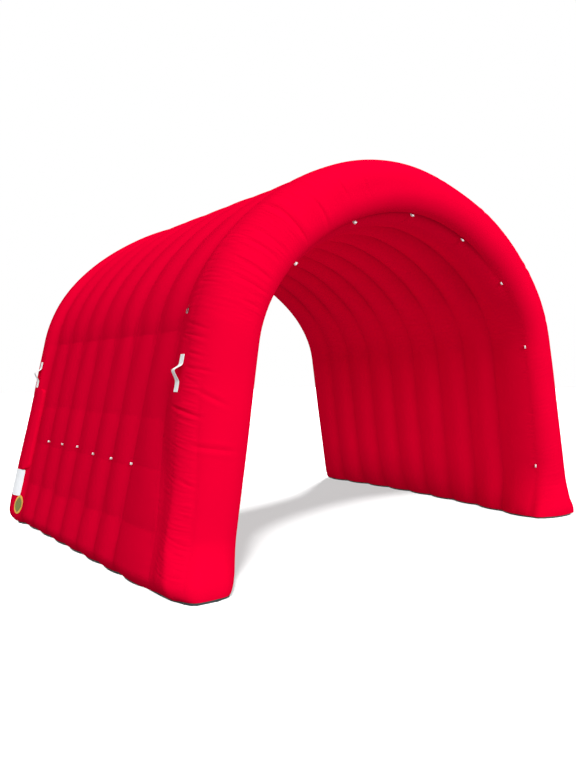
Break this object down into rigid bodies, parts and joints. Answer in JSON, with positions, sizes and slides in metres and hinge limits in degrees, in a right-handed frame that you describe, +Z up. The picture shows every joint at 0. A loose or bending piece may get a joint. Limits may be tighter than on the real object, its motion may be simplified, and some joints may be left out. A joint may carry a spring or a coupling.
{
  "type": "inflatable sports tunnel",
  "caption": "Walk-through arched tunnel of red air-filled chambers sewn side by side, with webbing grab handles, tie loops and a dark base strip under each leg.",
  "frame": {"origin": "on the ground, in the middle of the footprint", "axes": "+X across the tunnel to the right seen from the front mouth, +Y along the tunnel from the front mouth to the rear, +Z up"},
  "size_m": [5.2862, 3.8855, 3.5142],
  "materials": {
    "coated_cloth": "polyurethane-coated polyester, soft sheen",
    "base_sheet": "matt vinyl sheet",
    "webbing": "woven polyester webbing",
    "tab_webbing": "woven polyester tape",
    "ring_steel": "satin",
    "bare_label": "smooth vinyl, no print",
    "patch_cloth": "embroidered twill with a stitched rim"
  },
  "bodies": {
    "root": {"chamber_1": "coated_cloth", "chamber_2": "coated_cloth", "chamber_3": "coated_cloth", "chamber_4": "coated_cloth", "chamber_5": "coated_cloth", "chamber_6": "coated_cloth", "chamber_7": "coated_cloth", "chamber_8": "coated_cloth", "chamber_9": "coated_cloth", "base_left": "base_sheet", "base_right": "base_sheet", "handle_front_left": "webbing", "handle_rear_left": "webbing", "handle_front_right": "webbing", "handle_rear_right": "webbing", "side_loop_left_1": "webbing", "side_loop_left_2": "webbing", "side_loop_left_3": "webbing", "side_loop_left_4": "webbing", "side_loop_left_5": "webbing", "side_loop_left_6": "webbing", "side_loop_right_1": "webbing", "side_loop_right_2": "webbing", "side_loop_right_3": "webbing", "side_loop_right_4": "webbing", "side_loop_right_5": "webbing", "side_loop_right_6": "webbing", "seam_loop_1": "webbing", "seam_loop_2": "webbing", "seam_loop_3": "webbing", "seam_loop_4": "webbing", "seam_loop_5": "webbing", "seam_loop_6": "webbing", "seam_loop_7": "webbing", "seam_loop_8": "webbing", "seam_loop_9": "webbing", "ring_tab_left": "tab_webbing", "ring_tab_right": "tab_webbing", "ring_left": "ring_steel", "ring_right": "ring_steel", "vent_flap": "coated_cloth", "label_patch": "bare_label", "round_patch": "patch_cloth"}
  },
  "joints": []
}
